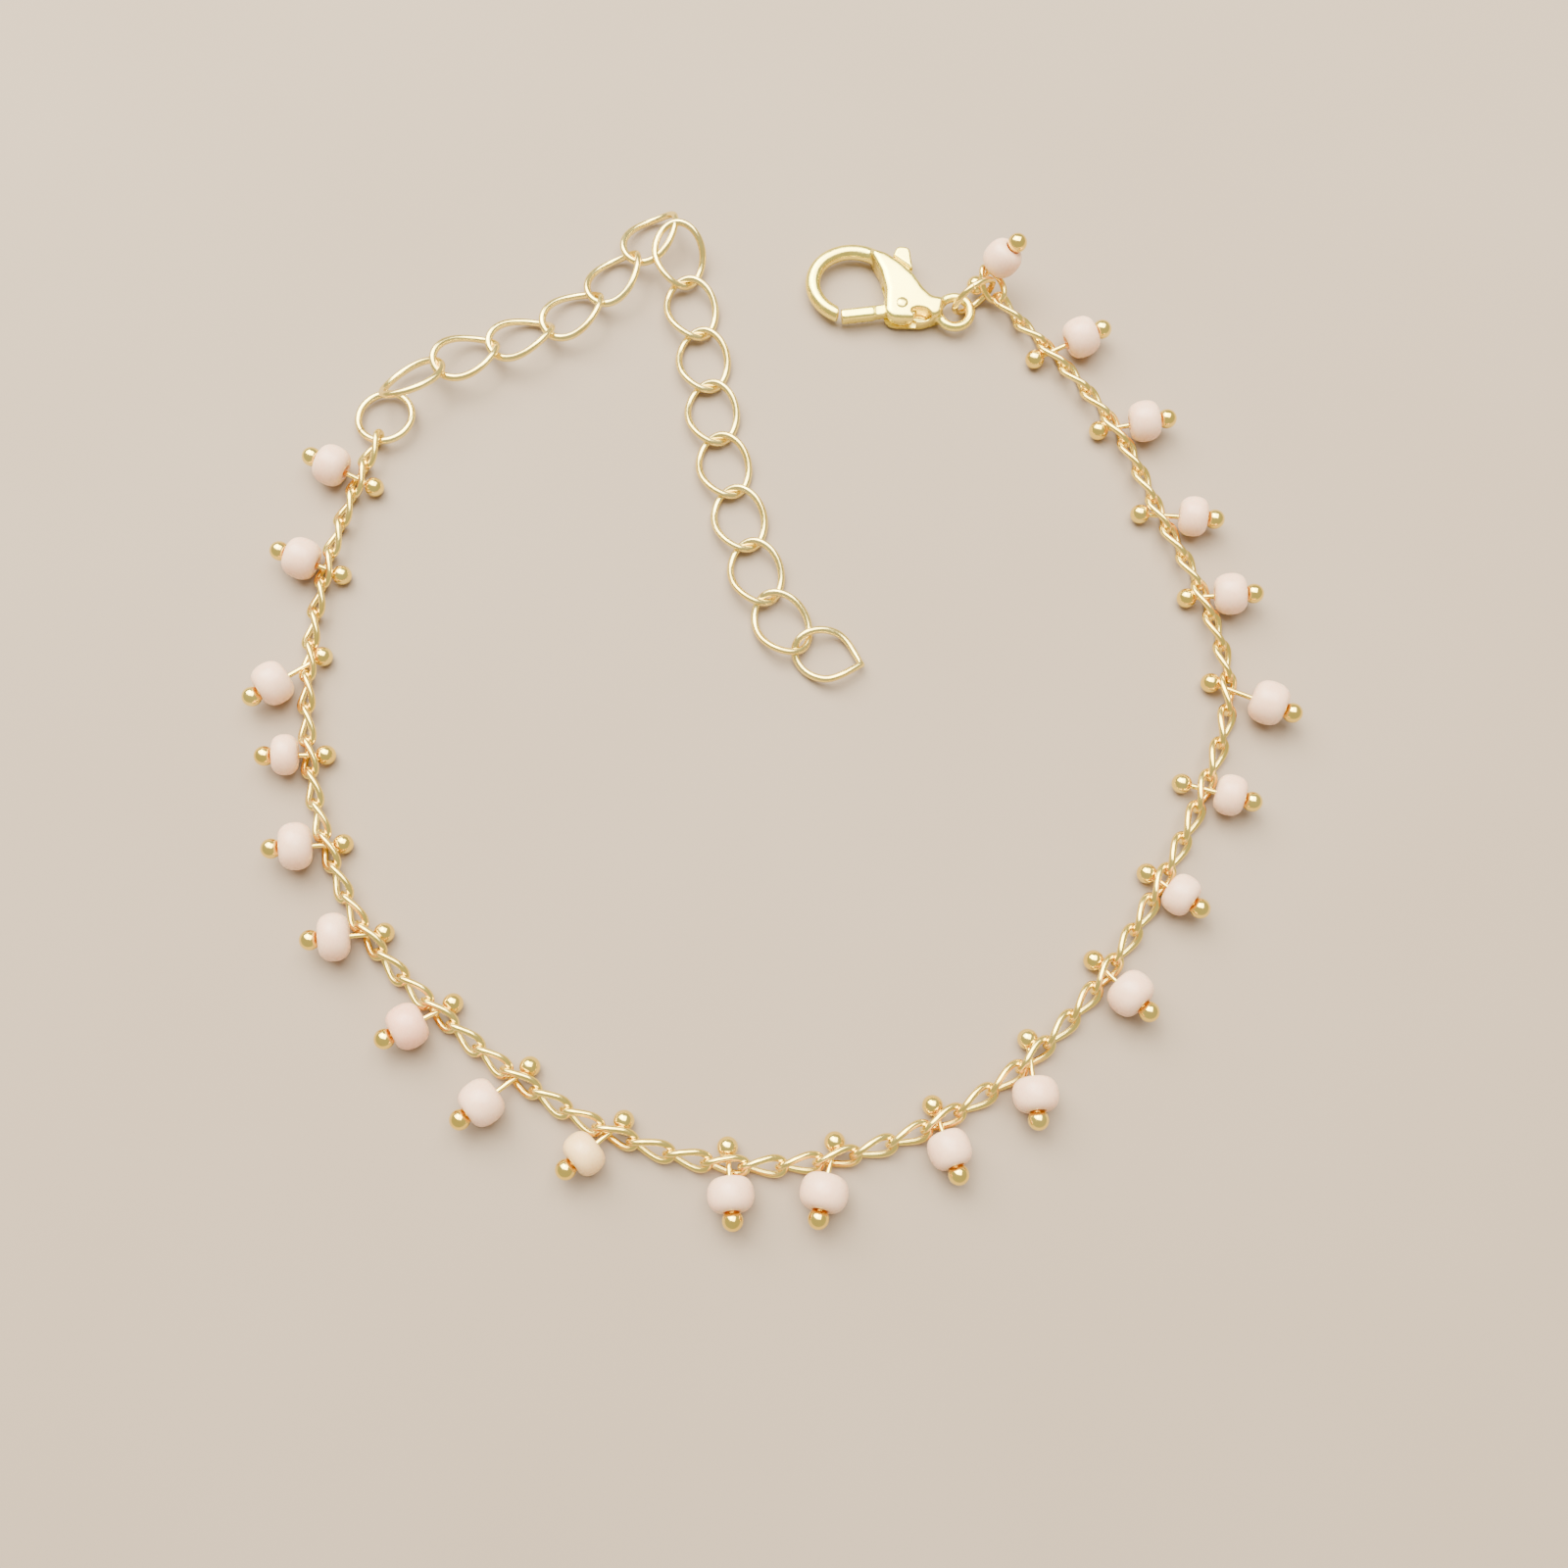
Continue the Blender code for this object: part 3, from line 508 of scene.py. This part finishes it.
def bent_wire(centres, wire, closed=False):
    """A round wire along a row of points in a plan, half the clasp's thickness up."""
    work = bmesh.new()
    points = [Vector((x, y, CLASP_MIDDLE)) for x, y in centres]
    loops = []
    for index, point in enumerate(points):
        if closed:
            way = points[(index + 1) % len(points)] - points[index - 1]
        else:
            way = points[min(index + 1, len(points) - 1)] - points[max(index - 1, 0)]
        circle = bmesh.ops.create_circle(work, radius=wire / 2, segments=WIRE_STEPS * 2, cap_ends=False,
                                         matrix=facing(point, way))["verts"]
        loops.append(list(dict.fromkeys(edge for vertex in circle for edge in vertex.link_edges)))
    for near, far in zip(loops, loops[1:]):
        bmesh.ops.bridge_loops(work, edges=near + far)
    if closed:
        bmesh.ops.bridge_loops(work, edges=loops[-1] + loops[0])
    else:
        for rim in (loops[0], loops[-1]):
            bmesh.ops.contextual_create(work, geom=rim)
    bmesh.ops.recalc_face_normals(work, faces=work.faces)
    return work


def set_aside(work):
    """A helper object of a shape."""
    mesh = bpy.data.meshes.new("helper")
    work.to_mesh(mesh)
    work.free()
    helper = bpy.data.objects.new("helper", mesh)
    bpy.context.scene.collection.objects.link(helper)
    return helper


def taken_back(helper):
    """The shape of a helper object with its modifiers applied, after which the helper is gone."""
    work = bmesh.new()
    work.from_object(helper, bpy.context.evaluated_depsgraph_get())
    bpy.data.objects.remove(helper)
    return work


def combined(base, operation, *others):
    """The base joined with, or cut by, each of the others."""
    helper = set_aside(base)
    tools = [set_aside(other) for other in others]
    for tool in tools:
        step = helper.modifiers.new("step", "BOOLEAN")
        step.operation, step.solver, step.object = operation, "EXACT", tool
    work = taken_back(helper)
    for tool in tools:
        bpy.data.objects.remove(tool)
    return work


def tumbled(work, rounds):
    """Rounds a casting's edges and the corners between its parts, as tumbling in grit does."""
    helper = set_aside(work)
    grains = helper.modifiers.new("grains", "REMESH")
    grains.mode, grains.voxel_size = "VOXEL", GRAIN
    worn = helper.modifiers.new("worn", "SMOOTH")
    worn.factor, worn.iterations = 0.5, rounds
    return taken_back(helper)


def gate_sweep(reach):
    """The stretch of circle round the rivet that the gate's end follows."""
    return arc((0, 0), (reach, reach), SWEEP_FROM, SWEEP_TO, SWEEP_STEPS)


def turned_rivet():
    """The rivet: its shank across the slot, and its head, a shallow dome that shows on the body."""
    seat = CLASP_THICKNESS - RIVET_HEAD_SUNK
    dome = arc((0, seat), (RIVET_HEAD_RADIUS, RIVET_HEAD_HEIGHT), 0, 90, DOME_STEPS)[:-1]
    outline = [(0, RIVET_FOOT), (RIVET_SHANK_RADIUS, RIVET_FOOT), (RIVET_SHANK_RADIUS, RIVET_NECK),
               (RIVET_HEAD_RADIUS, RIVET_NECK), *dome, (0, seat + RIVET_HEAD_HEIGHT)]
    work = turned(outline, RIVET_TURNS, Matrix.Scale(1 / MM, 4))
    bmesh.ops.recalc_face_normals(work, faces=work.faces)
    return work


clasp_gold = gold_plating("gold_plated_tumbled_casting", "#FFF07C", "#FEE56E", 0.22, 0.5)
body = rounded(prism(BODY_OUTLINE, 0, CLASP_THICKNESS), BODY_ROUNDING)
hook = bent_wire(arc(HOOK_CENTRE, HOOK_HALF_SIZE, HOOK_FROM, HOOK_TO, HOOK_STEPS), HOOK_WIRE)
eye = bent_wire(oval(EYE_CENTRE, (EYE_RADIUS, EYE_RADIUS), ROUND_SIDES), EYE_WIRE, closed=True)
casting = combined(body, "UNION", hook, eye)
casting = combined(casting, "DIFFERENCE",
                   prism([*GATE_ROOM_SIDE, *gate_sweep(GATE_REACH + GATE_GAP)], BELOW, ABOVE),
                   prism(NOTCH_OUTLINE, NOTCH_FLOOR, ABOVE),
                   prism(oval(HOLLOW_CENTRE, HOLLOW_HALF_SIZE, SMALL_ROUND_SIDES), HOLLOW_FLOOR, ABOVE))
casting = tumbled(casting, CASTING_ROUNDS)
casting = combined(casting, "DIFFERENCE", slab(SLOT_OUTLINE, SLOT_THICKNESS))
casting = combined(casting, "UNION", turned_rivet())
casting.transform(clasp_place)
clasp = add_piece("clasp_casting", casting, clasp_gold, "bracelet", "clasp_body")


# Clasp lever
# The lobster clasp's gate is a second small casting: a drilled hub on the rivet, an arm up to the
# thumb tab, and the gate across the hook. A spring inside the body holds it shut.
LEVER_THICKNESS = 0.74
HUB_RADIUS, HUB_BORE = 1.1, 0.9
ARM_OUTLINE = ((-0.55, 0.0), (-0.62, 1.7), (-1.15, 3.3), (-1.15, 4.0), (0.0, 4.0), (0.5, 0.0))
TAB_OUTLINE = ((-1.25, 3.78), (-1.1, 4.45), (-0.9, 4.62), (-0.3, 4.65), (-0.1, 4.45), (0.35, 2.95))
TAB_THICKNESS = 1.3
LEVER_ROUNDING, LEVER_ROUNDS = 0.2, 5
GATE_START, GATE_END = (-1.75, -0.62), (-4.5, -1.45)
GATE_HALF_WIDTH, GATE_THICKNESS = 0.4, 1.0
# What lies beyond the sweep of the gate's end is cut off as far as here.
CUT_OFF_TO = -7.0


def bar(start, end, half_width):
    """The plan of a straight bar between two points."""
    start, end = Vector(start), Vector(end)
    aside = (end - start).normalized().orthogonal() * half_width
    return [tuple(start - aside), tuple(end - aside), tuple(end + aside), tuple(start + aside)]


lever = combined(slab(oval((0, 0), (HUB_RADIUS, HUB_RADIUS), ROUND_SIDES), LEVER_THICKNESS), "UNION",
                 slab(ARM_OUTLINE, LEVER_THICKNESS),
                 rounded(slab(TAB_OUTLINE, TAB_THICKNESS), LEVER_ROUNDING),
                 slab(bar((0, 0), GATE_END, GATE_HALF_WIDTH), LEVER_THICKNESS),
                 rounded(slab(bar(GATE_START, GATE_END, GATE_HALF_WIDTH), GATE_THICKNESS), LEVER_ROUNDING))
sweep = gate_sweep(GATE_REACH)
lever = combined(lever, "DIFFERENCE",
                 prism(sweep + [(CUT_OFF_TO, sweep[-1][1]), (CUT_OFF_TO, sweep[0][1])], BELOW, ABOVE))
lever = tumbled(lever, LEVER_ROUNDS)
lever = combined(lever, "DIFFERENCE",
                 prism(oval((0, 0), (HUB_BORE / 2, HUB_BORE / 2), SMALL_ROUND_SIDES), BELOW, ABOVE))
lever.transform(clasp_place)
gate = add_piece("clasp_gate", lever, clasp_gold, "lever", "clasp_lever")


# Floor, light and camera
# A plain pale sheet of matt paper lies under the bracelet. The light is a large soft window behind
# and to the left, with a wide ceiling light above, and the camera looks down from the near side.
FLOOR_HALF_SIZE = 600.0
PAPER_DRIFT, PAPER_TOOTH = 25.0, 0.4
# For each soft light: its name, place, aim, size, power in watts, and colour.
SOFT_LIGHTS = (
    ("window", (-190, 250, 330), (0, 10, 0), 340, 4.9, "#FFFCF6"),
    ("ceiling", (30, 160, 400), (0, 0, 0), 420, 6.6, "#FFFDF8"),
)
ROOM_COLOUR, ROOM_STRENGTH = "#FFF8EE", 0.68
CAMERA_PLACE = (0.8, -31.89, 100.61)
CAMERA_TILT = 14.0
# The photo looks as if its lens was as long as its sensor is wide.
LENS, SENSOR, NEAREST = 36.0, 36.0, 5.0


def matt_paper():
    """Matt pale paper, with a faint tooth and a slow drift in tone."""
    material = bpy.data.materials.new("matt_pale_paper")
    material.use_nodes = True
    tree = material.node_tree
    shader = tree.nodes["Principled BSDF"]
    place = add_node(tree, "ShaderNodeTexCoord").outputs["Object"]
    drift = add_node(tree, "ShaderNodeTexNoise", {"Scale": 1 / (PAPER_DRIFT * MM), "Detail": 2.0},
                     {"Vector": place})
    colour = add_node(tree, "ShaderNodeMix",
                      {"data_type": "RGBA", 6: linear("#9C8A73"), 7: linear("#A2917B")},
                      {0: drift.outputs["Fac"]})
    tooth = add_node(tree, "ShaderNodeTexNoise", {"Scale": 1 / (PAPER_TOOTH * MM), "Detail": 2.0},
                     {"Vector": place})
    relief = add_node(tree, "ShaderNodeBump", {"Strength": 0.15, "Distance": 0.02 * MM},
                      {"Height": tooth.outputs["Fac"]})
    shader.inputs["Roughness"].default_value = 0.85
    tree.links.new(colour.outputs[2], shader.inputs["Base Color"])
    tree.links.new(relief.outputs["Normal"], shader.inputs["Normal"])
    return material


def add_softbox(name, place, aim, size, power, colour):
    """A square soft light at one point, facing another, both in millimetres."""
    light = bpy.data.lights.new(name, "AREA")
    light.shape, light.size, light.energy, light.color = "SQUARE", size * MM, power, linear(colour)[:3]
    lamp = bpy.data.objects.new(name, light)
    bpy.context.scene.collection.objects.link(lamp)
    lamp.location = Vector(place) * MM
    lamp.rotation_euler = (Vector(aim) - Vector(place)).to_track_quat("-Z", "Y").to_euler()


work = bmesh.new()
bmesh.ops.create_grid(work, x_segments=1, y_segments=1, size=FLOOR_HALF_SIZE * MM)
mesh = bpy.data.meshes.new("paper")
work.to_mesh(mesh)
work.free()
mesh.materials.append(matt_paper())
floor = bpy.data.objects.new("paper", mesh)
bpy.context.scene.collection.objects.link(floor)

for light_row in SOFT_LIGHTS:
    add_softbox(*light_row)
world = bpy.data.worlds.new("room")
world.use_nodes = True
room = world.node_tree.nodes["Background"]
room.inputs["Color"].default_value = linear(ROOM_COLOUR)
room.inputs["Strength"].default_value = ROOM_STRENGTH
bpy.context.scene.world = world

lens = bpy.data.cameras.new("camera")
lens.lens, lens.sensor_width, lens.clip_start = LENS, SENSOR, NEAREST * MM
camera = bpy.data.objects.new("camera", lens)
bpy.context.scene.collection.objects.link(camera)
camera.location = Vector(CAMERA_PLACE) * MM
camera.rotation_euler = (math.radians(CAMERA_TILT), 0, 0)
bpy.context.scene.camera = camera
